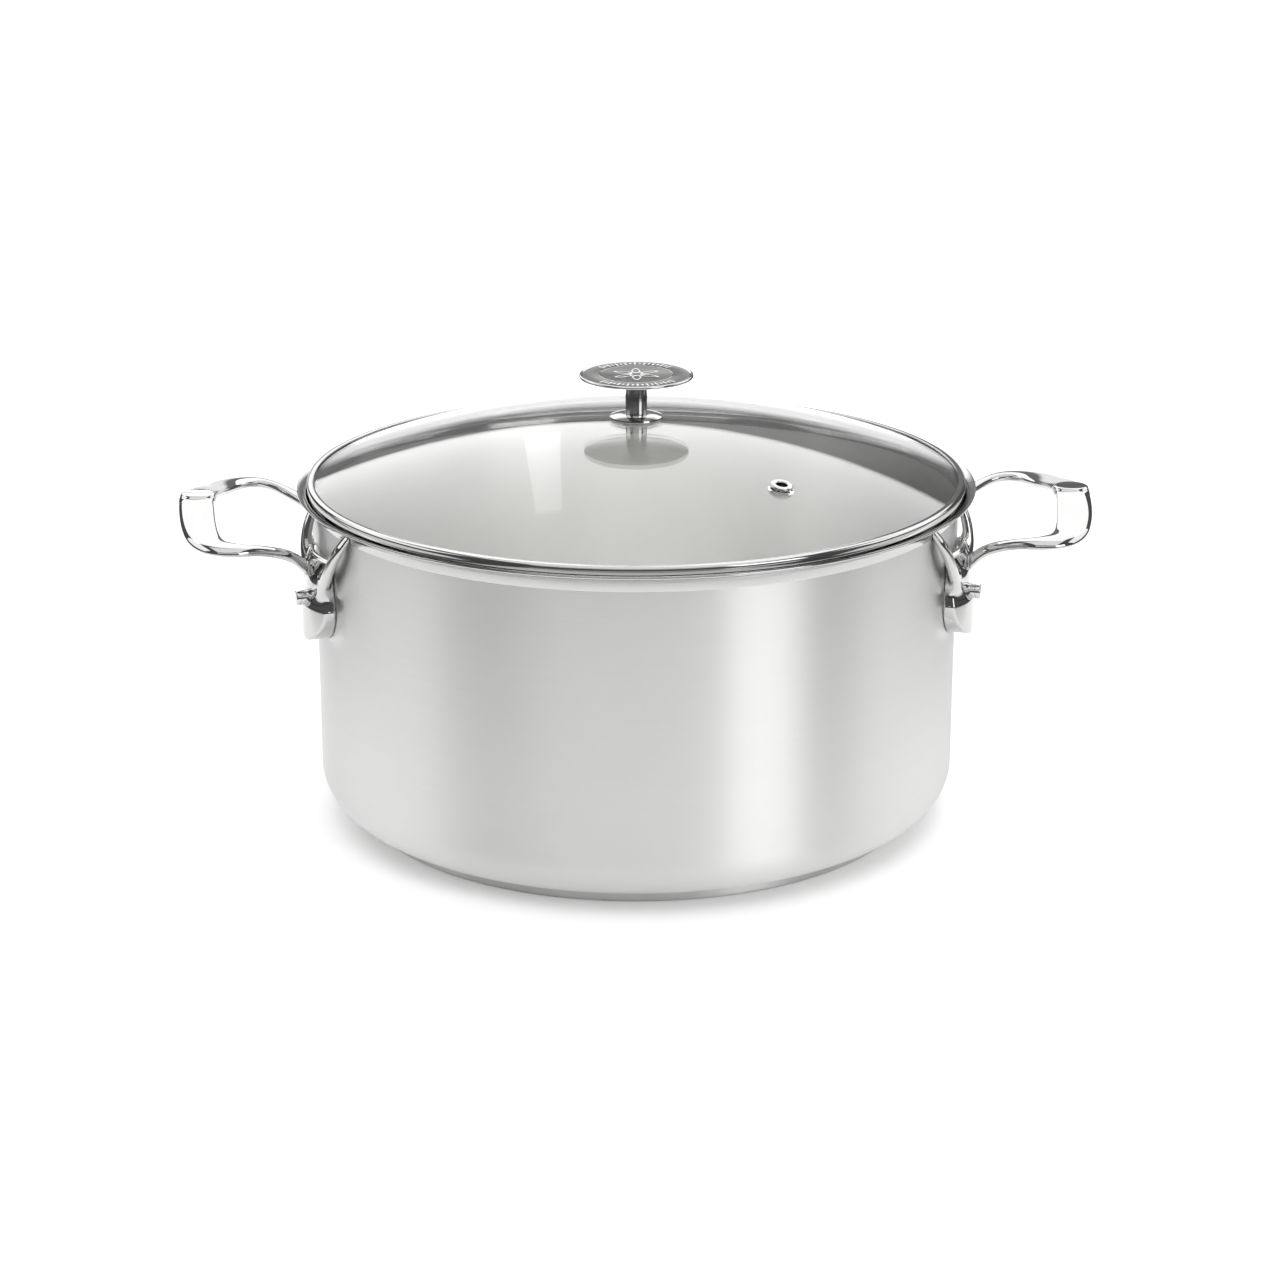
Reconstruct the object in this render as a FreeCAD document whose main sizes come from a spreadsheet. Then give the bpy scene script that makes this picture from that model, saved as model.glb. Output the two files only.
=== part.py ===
"""Stock pot with a glass lid, two cast loop handles and a flat round knob.

Millimetres. +Z is up, the origin is the centre of the base on the floor, and the handles lie along X.
"""
import FreeCAD
import Part
import math
import os

import Sketcher
from FreeCAD import Placement, Rotation, Vector

UP = Vector(0, 0, 1)
ORIGIN = Vector(0, 0, 0)

SIZES = {
    # pot shell
    "pot_radius": 141.0,
    "wall": 0.8,
    "corner_radius": 18.0,
    "flare_start": 140.4,
    "flare_radius": 8.0,
    "flange_lower_radius": 148.3,
    "flange_lower_height": 148.37,
    "flange_upper_radius": 148.23,
    "flange_upper_height": 149.17,
    # sandwich base
    "base_height": 5.7,
    "cap_radius": 122.7,
    "cap_skin": 0.6,
    "cap_edge": 1.5,
    "core_gap": 0.1,
    # lid glass: two concentric spherical faces about a point on the axis, below the floor
    "glass_top": 176.8,
    "dome_radius": 404.0,
    "glass_thickness": 3.5,
    "glass_radius": 143.2,
    "glass_bevel_radius": 141.3,
    "glass_edge_low": 148.85,
    "glass_hole": 5.2,
    # steel band rolled round the glass
    "band_radius": 143.9,
    "band_sheet": 0.55,
    "lip_radius": 140.8,
    "lip_height": 152.15,
    "shoulder": 1.4,
    "turn_height": 149.15,
    "turn_radius": 1.2,
    "slope_start_radius": 143.427,
    "slope_start_height": 148.196,
    "slope_end_radius": 141.507,
    "slope_end_height": 146.733,
    "slope_shift_in": 0.333,
    "slope_shift_up": 0.437,
    "skirt_bend": 0.9,
    "skirt_radius": 141.15,
    "skirt_top": 146.02,
    "skirt_bottom": 145.0,
    # vent, along the dome's normal, heights above the glass face
    "vent_distance": 94.5,
    "vent_hole": 4.0,
    "eyelet_bore": 2.35,
    "eyelet_tube": 2.95,
    "eyelet_head": 4.85,
    "eyelet_head_low": 0.5,
    "eyelet_head_high": 1.3,
    "eyelet_round": 0.6,
    "eyelet_flare": 3.7,
    "eyelet_flare_top": 4.6,
    "eyelet_end": 5.1,
    "gasket_clear": 0.05,
    "vent_gasket_sleeve": 3.9,
    "vent_gasket_flange": 4.5,
    "vent_gasket_bottom": 3.6,
    "vent_washer_radius": 5.4,
    "vent_washer_top": 3.7,
    "vent_washer_bottom": 4.5,
    # knob
    "knob_radius": 25.0,
    "knob_top": 196.4,
    "knob_edge": 0.65,
    "knob_edge_round": 0.76,
    "knob_rim": 1.5,
    "knob_boss_radius": 6.5,
    "knob_boss_bottom": 193.4,
    "socket_radius": 3.05,
    "socket_top": 195.0,
    "spigot_radius": 3.0,
    "spigot_top": 194.9,
    "stem_radius": 4.75,
    "stem_bottom": 178.9,
    "thread_radius": 2.5,
    "thread_top": 189.0,
    "collar_radius": 11.7,
    "collar_bottom": 176.75,
    "collar_edge_top": 177.4,
    "collar_dome": 16.0,
    "collar_flat": 5.6,
    "collar_bore": 2.7,
    "collar_recess_radius": 9.8,
    "collar_recess_top": 177.75,
    "collar_foot": 10.7,
    "gasket_bore": 2.8,
    "upper_gasket_radius": 9.4,
    "upper_gasket_bottom": 176.85,
    "upper_gasket_top": 177.65,
    "lower_gasket_radius": 10.0,
    "lower_gasket_bottom": 172.2,
    "lower_gasket_top": 173.1,
    "sleeve_radius": 4.9,
    "sleeve_top": 176.7,
    "washer_radius": 9.2,
    "washer_bottom": 171.15,
    "washer_top": 172.15,
    "spring_washer_radius": 4.8,
    "spring_washer_bottom": 169.9,
    "spring_washer_top": 171.1,
    "screw_radius": 2.45,
    "screw_end": 188.0,
    "screw_head_radius": 4.6,
    "screw_head_bottom": 166.9,
    "screw_head_edge": 168.4,
    "screw_head_top": 169.85,
    "screw_dome": 7.8,
    "recess_length": 5.2,
    "recess_width": 1.1,
    "recess_depth": 1.4,
    # rivets, along their own axis, measured from the pot's axis
    "rivet_height": 109.5,
    "rivet_radius": 3.0,
    "rivet_hole": 3.05,
    "rivet_head_radius": 6.5,
    "rivet_head_inner": 138.4,
    "rivet_head_edge": 139.3,
    "rivet_head_dome": 23.9,
    "rivet_seat": 140.04,
    "rivet_tail_radius": 3.35,
    "rivet_tail_start": 150.45,
    "rivet_neck": 2.7,
    "rivet_neck_start": 151.0,
    "rivet_neck_end": 151.6,
    "rivet_tail_shoulder": 153.0,
    "rivet_tail_round": 0.7,
    "rivet_end": 153.7,
    # handle feet
    "foot_reach": 150.4,
    "foot_crown": 29.5,
    "foot_half_width": 17.5,
    "foot_bottom": 91.0,
    "foot_shoulder": 107.0,
    "foot_top": 127.0,
    "foot_neck": 15.0,
    "wall_clear": 0.1,
    # grip strap
    "strap_thickness": 2.6,
    "strap_crown": 1.1,
    "pad_x": 191.8,
    "pad_length": 7.6,
    "pad_width": 6.6,
    "pad_bottom": 140.5,
    "pad_top": 144.6,
}

FOOT_AZIMUTH = 16.5      # degrees from the X axis to each handle foot
VENT_AZIMUTH = -52.2     # degrees from the X axis to the steam vent
SPRING_WASHER_SWEEP = 350.0
RING_POINTS = 8          # points that shape a strut's oval section

# Top edges of the grip strap from its crown to the foot, as (x, y, z) of the outer and the inner edge.
STRAP_STATIONS = [
    ((200.6, 0.0, 142.4), (184.6, 0.0, 142.8)),
    ((200.0, 9.0, 142.0), (183.9, 8.0, 142.2)),
    ((198.2, 23.0, 140.6), (182.3, 20.0, 139.9)),
    ((195.4, 36.5, 138.5), (180.3, 31.5, 137.6)),
    ((190.8, 48.5, 136.6), (178.0, 40.5, 136.4)),
    ((183.0, 57.0, 135.4), (174.8, 46.5, 136.0)),
    ((173.0, 59.4, 134.7), (169.0, 49.0, 135.7)),
    ((164.0, 56.0, 133.5), (161.5, 46.6, 134.4)),
    ((155.0, 51.0, 131.1), (154.5, 41.6, 131.9)),
    ((147.5, 48.0, 127.8), (147.5, 38.0, 128.5)),
    ((143.0, 47.0, 124.2), (143.0, 37.0, 124.7)),
]

CORNER_STATION = 5       # the station where the grip's bar turns into its arm

# The struts of the foot's fork, from the tab to the wall under the rim:
# degrees from the foot's middle, distance from the pot's axis, height, half width, half thickness.
INNER_STRUT = [
    (3.4, 143.8, 110.0, 3.6, 2.4),
    (4.6, 145.0, 118.0, 4.0, 2.8),
    (5.6, 145.8, 125.5, 3.8, 3.0),
    (6.3, 145.4, 132.0, 3.5, 2.6),
    (6.8, 144.0, 138.0, 3.2, 2.2),
    (7.0, 142.5, 142.2, 3.0, 1.8),
]
OUTER_STRUT = [
    (3.4, 143.8, 110.0, 3.6, 2.4),
    (5.6, 144.8, 118.0, 3.8, 2.4),
    (8.2, 145.2, 125.5, 3.6, 2.3),
    (10.6, 144.9, 133.0, 3.4, 2.1),
    (12.4, 143.6, 139.2, 3.2, 1.9),
    (13.0, 142.2, 142.2, 3.0, 1.6),
]


def dome_height(distance, depth=0.0):
    """Height of the glass's top face, or of a face that much below it, at a distance from the axis."""
    centre = SIZES["glass_top"] - SIZES["dome_radius"]
    radius = SIZES["dome_radius"] - depth
    return centre + math.sqrt(radius**2 - distance**2)


def derived_sizes():
    """Heights on the domed glass, and the middles of the band's shoulder arcs, from the driving sizes."""
    depth = SIZES["glass_thickness"]
    inner_shoulder = SIZES["shoulder"] - SIZES["band_sheet"]
    return {
        "shoulder_middle": SIZES["shoulder"] * math.sin(math.pi / 4),
        "inner_shoulder_middle": inner_shoulder * math.sin(math.pi / 4),
        "glass_inner_radius": SIZES["dome_radius"] - depth,
        "glass_hole_top": dome_height(SIZES["glass_hole"]),
        "glass_hole_bottom": dome_height(SIZES["glass_hole"], depth),
        "glass_edge_top": dome_height(SIZES["glass_radius"]),
        "glass_bevel_bottom": dome_height(SIZES["glass_bevel_radius"], depth),
    }


SIZES.update(derived_sizes())
doc = FreeCAD.newDocument("StockPot")


def make_sheet():
    """The spreadsheet that holds every size, with the size's name as its alias."""
    sheet = doc.addObject("Spreadsheet::Sheet", "Sizes")
    for row, (name, value) in enumerate(SIZES.items(), 1):
        sheet.set(f"A{row}", name)
        sheet.set(f"B{row}", f"{value:.6f}")
        sheet.setAlias(f"B{row}", name)
    doc.recompute()


def read(name):
    """One size's value, read back from the sheet."""
    return float(doc.getObject("Sizes").get(name))


def size(text):
    """A sum such as "pot_radius - wall", as its value and as an expression on the sheet."""
    total = 0.0
    sign = 1
    words = []
    for word in text.split():
        if word in ("+", "-"):
            sign = 1 if word == "+" else -1
            words.append(word)
        elif word == "0":
            words.append("0")
        else:
            total += sign * read(word)
            words.append(f"Sizes.{word}")
    return total, " ".join(words)


def arc_between(start, end, radius, turn):
    """The short arc from start to end, bending left for turn 1 and right for turn -1."""
    chord = end - start
    middle = (start + end) / 2
    left = Vector(-chord.y, chord.x, 0).normalize()
    rise = math.sqrt(max(radius**2 - (chord.Length / 2) ** 2, 0.0))
    centre = middle + left * (turn * rise)
    first = math.atan2(start.y - centre.y, start.x - centre.x)
    last = math.atan2(end.y - centre.y, end.x - centre.x)
    if turn < 0:
        first, last = last, first
    return Part.ArcOfCircle(Part.Circle(centre, UP, radius), first, last)


def bind_point(sketch, edge, end, axis, text):
    """Holds one coordinate of an edge's end at a size, or on an axis where the size is zero."""
    value, expression = size(text)
    if expression == "0":
        sketch.addConstraint(Sketcher.Constraint("PointOnObject", edge, end, -2 if axis == "X" else -1))
        return
    index = sketch.addConstraint(Sketcher.Constraint("Distance" + axis, edge, end, value))
    sketch.setExpression(f"Constraints[{index}]", expression)


def draw_outline(sketch, corners):
    """Draws a closed outline of (x, y) corners.

    A corner (x, y, radius, turn) is reached by an arc that bends left for turn 1 and right for turn -1.
    Where a fifth value is true the arc's centre lies on the axis, which then sets the corner's height.
    """
    points = [Vector(size(corner[0])[0], size(corner[1])[0], 0) for corner in corners]
    ends = []
    for place, corner in enumerate(corners):
        start = points[place - 1]
        end = points[place]
        if len(corner) == 2:
            edge = sketch.addGeometry(Part.LineSegment(start, end), False)
            ends.append((edge, 1, 2))
            continue
        radius, expression = size(corner[2])
        edge = sketch.addGeometry(arc_between(start, end, radius, corner[3]), False)
        ends.append((edge, 1, 2) if corner[3] > 0 else (edge, 2, 1))
        index = sketch.addConstraint(Sketcher.Constraint("Radius", edge, radius))
        sketch.setExpression(f"Constraints[{index}]", expression)
    for place, corner in enumerate(corners):
        edge, _, last = ends[place]
        next_edge, next_first, _ = ends[(place + 1) % len(corners)]
        sketch.addConstraint(Sketcher.Constraint("Coincident", edge, last, next_edge, next_first))
        bind_point(sketch, edge, last, "X", corner[0])
        if len(corner) == 5:
            sketch.addConstraint(Sketcher.Constraint("PointOnObject", edge, 3, -2))
        else:
            bind_point(sketch, edge, last, "Y", corner[1])


def origin_plane(body, role):
    """One of a body's own origin planes."""
    for feature in body.Origin.OriginFeatures:
        if feature.Role == role:
            return feature
    raise ValueError(f"{body.Label} has no {role}")


def spun_body(name, corners, angle=360.0):
    """A body made by turning an outline of (radius, height) corners about the vertical axis."""
    body = doc.addObject("PartDesign::Body", name)
    sketch = body.newObject("Sketcher::SketchObject", name + "_outline")
    sketch.AttachmentSupport = [(origin_plane(body, "XZ_Plane"), "")]
    sketch.MapMode = "FlatFace"
    draw_outline(sketch, corners)
    turned = body.newObject("PartDesign::Revolution", name + "_turned")
    turned.Profile = sketch
    turned.ReferenceAxis = (sketch, ["V_Axis"])
    turned.Angle = angle
    body.Tip = turned
    doc.recompute()
    return body


def drill(body, name, radius, length, place, direction):
    """Cuts a round hole of a named radius and length, starting at place and running along direction."""
    before = body.Shape.Volume
    hole = body.newObject("PartDesign::SubtractiveCylinder", name)
    hole.setExpression("Radius", "Sizes." + radius)
    hole.Height = length
    hole.Placement = Placement(place, Rotation(UP, direction))
    body.Tip = hole
    doc.recompute()
    if body.Shape.Volume >= before:
        raise ValueError(name + " cut nothing")


def foot_directions():
    """The outward direction of each foot, by the name of its place."""
    directions = {}
    for side, across in (("left", -1), ("right", 1)):
        for place, along in (("front", -1), ("rear", 1)):
            angle = math.radians(FOOT_AZIMUTH)
            directions[f"{side}_{place}"] = Vector(across * math.cos(angle), along * math.sin(angle), 0)
    return directions


def make_pot_body():
    """Deep-drawn shell: flat bottom, rounded corner and straight wall."""
    body = spun_body("pot_body", [
        ("0", "base_height"),
        ("pot_radius - corner_radius", "base_height"),
        ("pot_radius", "base_height + corner_radius", "corner_radius", 1),
        ("pot_radius", "flare_start"),
        ("pot_radius - wall", "flare_start"),
        ("pot_radius - wall", "base_height + corner_radius"),
        ("pot_radius - corner_radius", "base_height + wall", "corner_radius - wall", -1),
        ("0", "base_height + wall"),
    ])
    drill_length = 8.0
    for name, outward in foot_directions().items():
        start = outward * (read("pot_radius") - drill_length / 2) + UP * read("rivet_height")
        drill(body, "rivet_hole_" + name, "rivet_hole", drill_length, start, outward)


def make_pot_rim():
    """The flared pouring rim that continues the wall."""
    spun_body("pot_rim", [
        ("pot_radius", "flare_start"),
        ("flange_lower_radius", "flange_lower_height", "flare_radius", -1),
        ("flange_upper_radius", "flange_upper_height"),
        ("pot_radius - wall", "flare_start", "flare_radius + wall", 1),
    ])


def make_base():
    """Aluminium heat-spreading core and the steel cap that wraps it."""
    spun_body("base_core", [
        ("0", "cap_skin"),
        ("cap_radius - cap_edge - core_gap", "cap_skin"),
        ("cap_radius - cap_skin - core_gap", "cap_edge"),
        ("cap_radius - cap_skin - core_gap", "base_height"),
        ("0", "base_height"),
    ])
    spun_body("base_cap", [
        ("0", "0"),
        ("cap_radius - cap_edge", "0"),
        ("cap_radius", "cap_edge", "cap_edge", 1),
        ("cap_radius", "base_height"),
        ("cap_radius - cap_skin", "base_height"),
        ("cap_radius - cap_skin", "cap_edge"),
        ("cap_radius - cap_edge", "cap_skin", "cap_edge - cap_skin", -1),
        ("0", "cap_skin"),
    ])


def vent_place():
    """Where the vent crosses the top of the glass, and the dome's outward normal there."""
    azimuth = math.radians(VENT_AZIMUTH)
    distance = read("vent_distance")
    point = Vector(distance * math.cos(azimuth), distance * math.sin(azimuth), dome_height(distance))
    centre = Vector(0, 0, read("glass_top") - read("dome_radius"))
    return point, (point - centre).normalize()


def make_lid_glass():
    """Domed tempered glass with a centre hole, a vent hole and a bevelled lower edge."""
    body = spun_body("lid_glass", [
        ("glass_hole", "glass_hole_bottom"),
        ("glass_bevel_radius", "glass_bevel_bottom", "glass_inner_radius", -1, True),
        ("glass_radius", "glass_edge_low"),
        ("glass_radius", "glass_edge_top"),
        ("glass_hole", "glass_hole_top", "dome_radius", 1, True),
    ])
    point, normal = vent_place()
    drill_length = 12.0
    drill(body, "vent_hole", "vent_hole", drill_length, point - normal * (drill_length / 2), normal)


def make_lid_rim_band():
    """Strip rolled round the glass: lip on top, upright face, slope under the edge, skirt inside the rim."""
    spun_body("lid_rim_band", [
        ("lip_radius", "lip_height - band_sheet"),
        ("band_radius - shoulder", "lip_height - band_sheet"),
        ("band_radius - shoulder + inner_shoulder_middle", "lip_height - shoulder + inner_shoulder_middle",
         "shoulder - band_sheet", -1),
        ("band_radius - band_sheet", "lip_height - shoulder", "shoulder - band_sheet", -1),
        ("band_radius - band_sheet", "turn_height"),
        ("slope_start_radius - slope_shift_in", "slope_start_height + slope_shift_up",
         "turn_radius - band_sheet", -1),
        ("slope_end_radius - slope_shift_in", "slope_end_height + slope_shift_up"),
        ("skirt_radius - band_sheet", "skirt_top", "skirt_bend + band_sheet", 1),
        ("skirt_radius - band_sheet", "skirt_bottom"),
        ("skirt_radius", "skirt_bottom"),
        ("skirt_radius", "skirt_top"),
        ("slope_end_radius", "slope_end_height", "skirt_bend", -1),
        ("slope_start_radius", "slope_start_height"),
        ("band_radius", "turn_height", "turn_radius", 1),
        ("band_radius", "lip_height - shoulder"),
        ("band_radius - shoulder + shoulder_middle", "lip_height - shoulder + shoulder_middle", "shoulder", 1),
        ("band_radius - shoulder", "lip_height", "shoulder", 1),
        ("lip_radius", "lip_height"),
    ])


def make_vent():
    """Steam vent: steel eyelet, silicone gasket and the washer that the eyelet is clinched over."""
    outlines = {
        "vent_eyelet": [
            ("eyelet_bore", "0 - eyelet_end"),
            ("eyelet_flare", "0 - eyelet_end"),
            ("eyelet_flare", "0 - eyelet_flare_top"),
            ("eyelet_tube", "0 - eyelet_flare_top"),
            ("eyelet_tube", "eyelet_head_low"),
            ("eyelet_head", "eyelet_head_low"),
            ("eyelet_head", "eyelet_head_high - eyelet_round"),
            ("eyelet_head - eyelet_round", "eyelet_head_high", "eyelet_round", 1),
            ("eyelet_bore + eyelet_round", "eyelet_head_high"),
            ("eyelet_bore", "eyelet_head_high - eyelet_round", "eyelet_round", 1),
        ],
        "vent_gasket": [
            ("eyelet_tube + gasket_clear", "0 - vent_gasket_bottom"),
            ("vent_gasket_sleeve", "0 - vent_gasket_bottom"),
            ("vent_gasket_sleeve", "gasket_clear"),
            ("vent_gasket_flange", "gasket_clear"),
            ("vent_gasket_flange", "eyelet_head_low - gasket_clear"),
            ("eyelet_tube + gasket_clear", "eyelet_head_low - gasket_clear"),
        ],
        "vent_washer": [
            ("eyelet_tube + gasket_clear", "0 - vent_washer_bottom"),
            ("vent_washer_radius", "0 - vent_washer_bottom"),
            ("vent_washer_radius", "0 - vent_washer_top"),
            ("eyelet_tube + gasket_clear", "0 - vent_washer_top"),
        ],
    }
    point, normal = vent_place()
    for name, corners in outlines.items():
        body = spun_body(name, corners)
        body.Placement = Placement(point, Rotation(UP, normal))


def make_knob():
    """Flat disc on a threaded pillar, with a dished collar on the glass."""
    spun_body("knob_disc", [
        ("0", "socket_top"),
        ("socket_radius", "socket_top"),
        ("socket_radius", "knob_boss_bottom"),
        ("knob_boss_radius", "knob_boss_bottom"),
        ("knob_radius - knob_edge", "knob_top - knob_rim"),
        ("knob_radius - knob_edge", "knob_top", "knob_edge_round", 1),
        ("0", "knob_top"),
    ])
    spun_body("knob_stem", [
        ("thread_radius", "stem_bottom"),
        ("stem_radius", "stem_bottom"),
        ("stem_radius", "knob_boss_bottom"),
        ("spigot_radius", "knob_boss_bottom"),
        ("spigot_radius", "spigot_top"),
        ("0", "spigot_top"),
        ("0", "thread_top"),
        ("thread_radius", "thread_top"),
    ])
    spun_body("knob_collar", [
        ("collar_bore", "collar_recess_top"),
        ("collar_recess_radius", "collar_recess_top"),
        ("collar_foot", "collar_bottom"),
        ("collar_radius", "collar_bottom"),
        ("collar_radius", "collar_edge_top"),
        ("collar_flat", "stem_bottom", "collar_dome", 1),
        ("collar_bore", "stem_bottom"),
    ])


def make_knob_fixing():
    """Gaskets, washers and the screw that clamp the knob to the glass from below."""
    spun_body("knob_upper_gasket", [
        ("gasket_bore", "upper_gasket_bottom"),
        ("upper_gasket_radius", "upper_gasket_bottom"),
        ("upper_gasket_radius", "upper_gasket_top"),
        ("gasket_bore", "upper_gasket_top"),
    ])
    spun_body("knob_lower_gasket", [
        ("gasket_bore", "lower_gasket_bottom"),
        ("lower_gasket_radius", "lower_gasket_bottom"),
        ("lower_gasket_radius", "lower_gasket_top"),
        ("sleeve_radius", "lower_gasket_top"),
        ("sleeve_radius", "sleeve_top"),
        ("gasket_bore", "sleeve_top"),
    ])
    spun_body("knob_lower_washer", [
        ("gasket_bore", "washer_bottom"),
        ("washer_radius", "washer_bottom"),
        ("washer_radius", "washer_top"),
        ("gasket_bore", "washer_top"),
    ])
    spun_body("knob_spring_washer", [
        ("gasket_bore", "spring_washer_bottom"),
        ("spring_washer_radius", "spring_washer_bottom"),
        ("spring_washer_radius", "spring_washer_top"),
        ("gasket_bore", "spring_washer_top"),
    ], SPRING_WASHER_SWEEP)
    screw = spun_body("knob_screw", [
        ("0", "screw_head_bottom"),
        ("screw_head_radius", "screw_head_edge", "screw_dome", 1, True),
        ("screw_head_radius", "screw_head_top"),
        ("screw_radius", "screw_head_top"),
        ("screw_radius", "screw_end"),
        ("0", "screw_end"),
    ])
    for name, length, width in (
        ("recess_along", "recess_length", "recess_width"),
        ("recess_across", "recess_width", "recess_length"),
    ):
        slot = screw.newObject("PartDesign::SubtractiveBox", name)
        slot.setExpression("Length", "Sizes." + length)
        slot.setExpression("Width", "Sizes." + width)
        slot.setExpression("Height", "Sizes.recess_depth")
        slot.Placement.Base = Vector(-read(length) / 2, -read(width) / 2, read("screw_head_bottom"))
        screw.Tip = slot
        doc.recompute()


def make_rivets():
    """A rivet through each handle foot: low head inside the pot, shank, and a necked button outside."""
    for name, outward in foot_directions().items():
        rivet = spun_body("rivet_" + name, [
            ("0", "rivet_head_inner"),
            ("rivet_head_radius", "rivet_head_edge", "rivet_head_dome", 1, True),
            ("rivet_head_radius", "rivet_seat"),
            ("rivet_radius", "rivet_seat"),
            ("rivet_radius", "rivet_tail_start"),
            ("rivet_tail_radius", "rivet_tail_start"),
            ("rivet_neck", "rivet_neck_start"),
            ("rivet_tail_radius", "rivet_neck_end"),
            ("rivet_tail_radius", "rivet_tail_shoulder"),
            ("rivet_tail_radius - rivet_tail_round", "rivet_end", "rivet_tail_round", 1),
            ("0", "rivet_end"),
        ])
        rivet.Placement = Placement(UP * read("rivet_height"), Rotation(UP, outward))


def closed_curve(points):
    """A wire along one smooth closed curve through the points."""
    curve = Part.BSplineCurve()
    curve.interpolate(points, PeriodicFlag=True)
    return Part.Wire(curve.toShape())


def strap_section(outer, inner):
    """The strap's section between its two top edges: crowned on top, flat below, with rounded edges."""
    across = (outer - inner) / 2
    middle = (outer + inner) / 2
    thickness = read("strap_thickness")
    crown = read("strap_crown")
    shape = [(0.0, crown), (0.5, 0.75 * crown), (0.88, 0.1 * crown), (1.0, -0.45 * thickness)]
    shape += [(0.88, -thickness), (0.45, -1.1 * thickness), (0.0, -1.12 * thickness)]
    right = [middle + across * place + UP * height for place, height in shape]
    left = [middle - across * place + UP * height for place, height in shape[-2:0:-1]]
    return closed_curve(right + left)


def make_strap():
    """The loop of the grip: a crown half and an arm on each side, lofted and joined at equal sections."""
    sections = [strap_section(Vector(*outer), Vector(*inner)) for outer, inner in STRAP_STATIONS]
    crown = Part.makeLoft(sections[:CORNER_STATION + 1], True, False)
    arm = Part.makeLoft(sections[CORNER_STATION:], True, False)
    halves = [crown, arm]
    halves += [half.mirror(ORIGIN, Vector(0, 1, 0)) for half in halves]
    return halves[0].fuse(halves[1:])


def make_pad():
    """The flat oval pad on the crown of the grip."""
    ellipse = Part.Ellipse(ORIGIN, read("pad_length"), read("pad_width"))
    face = Part.Face(Part.Wire(ellipse.toShape()))
    face.translate(Vector(read("pad_x"), 0, read("pad_bottom")))
    return face.extrude(UP * (read("pad_top") - read("pad_bottom")))


def make_foot():
    """A foot that points along +X from the pot's axis, with its outer strut on the +Y side."""
    half = read("foot_half_width")
    neck = read("foot_neck")
    bottom = Vector(0, 0, read("foot_bottom"))
    shoulder = read("foot_shoulder")
    top = read("foot_top")
    sides = [
        Part.Arc(Vector(0, -half, shoulder), bottom, Vector(0, half, shoulder)).toShape(),
        Part.LineSegment(Vector(0, half, shoulder), Vector(0, neck, top)).toShape(),
        Part.LineSegment(Vector(0, neck, top), Vector(0, -neck, top)).toShape(),
        Part.LineSegment(Vector(0, -neck, top), Vector(0, -half, shoulder)).toShape(),
    ]
    tab = Part.Face(Part.Wire(sides)).extrude(Vector(read("foot_reach") + 1, 0, 0))
    crown_centre = Vector(read("foot_reach") - read("foot_crown"), 0, 0)
    tab = tab.common(Part.makeCylinder(read("foot_crown"), read("foot_top"), crown_centre, UP))
    return tab.fuse([make_strut(INNER_STRUT, -1), make_strut(OUTER_STRUT, 1)])


def make_strut(stations, side):
    """One strut of the fork that braces the foot up to the rim."""
    centres = []
    for turn, reach, height, _, _ in stations:
        angle = math.radians(side * turn)
        centres.append(Vector(reach * math.cos(angle), reach * math.sin(angle), height))
    sections = []
    for place, station in enumerate(stations):
        before = centres[max(place - 1, 0)]
        after = centres[min(place + 1, len(centres) - 1)]
        along = (after - before).normalize()
        across = along.cross(Vector(centres[place].x, centres[place].y, 0)).normalize() * station[3]
        outward = across.cross(along).normalize() * station[4]
        turns = [2 * math.pi * step / RING_POINTS for step in range(RING_POINTS)]
        sections.append(closed_curve(
            [centres[place] + across * math.cos(turn) + outward * math.sin(turn) for turn in turns]
        ))
    return Part.makeLoft(sections, True, False)


def make_clearance():
    """The space that the handle leaves to the pot's wall and to the underside of its rim."""
    radius = read("pot_radius") + read("wall_clear")
    wall = Part.makeCylinder(radius, read("flare_start"))
    tip = read("flange_upper_radius") + 1
    rise = read("flange_upper_height") - read("flare_start") + 1
    rim = Part.makeCylinder(tip, rise, Vector(0, 0, read("flare_start")))
    ring_radius = read("flare_radius") - read("wall_clear")
    ring_centre = read("pot_radius") + read("flare_radius")
    ring = Part.makeTorus(ring_centre, ring_radius, Vector(0, 0, read("flare_start")))
    return wall.fuse(rim.cut(ring))


def make_handle():
    """The right-hand handle: strap, pad and two feet in one casting, drilled for its rivets."""
    foot = make_foot()
    hole = Part.makeCylinder(read("rivet_hole"), 2 * read("rivet_end"), ORIGIN, Vector(1, 0, 0))
    hole.translate(UP * read("rivet_height"))
    feet = []
    holes = []
    for shape, pair in ((foot, feet), (hole, holes)):
        shape.rotate(ORIGIN, UP, FOOT_AZIMUTH)
        pair += [shape, shape.mirror(ORIGIN, Vector(0, 1, 0))]
    whole = make_strap().fuse([make_pad()] + feet)
    casting = whole.cut([make_clearance()] + holes)
    return casting.removeSplitter()


def make_handles():
    """The right-hand handle and its mirror image."""
    right = make_handle()
    left = right.mirror(ORIGIN, Vector(1, 0, 0))
    for name, shape in (("handle_right", right), ("handle_left", left)):
        feature = doc.addObject("Part::Feature", name)
        feature.Shape = shape
        feature.Placement = Placement()


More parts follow.
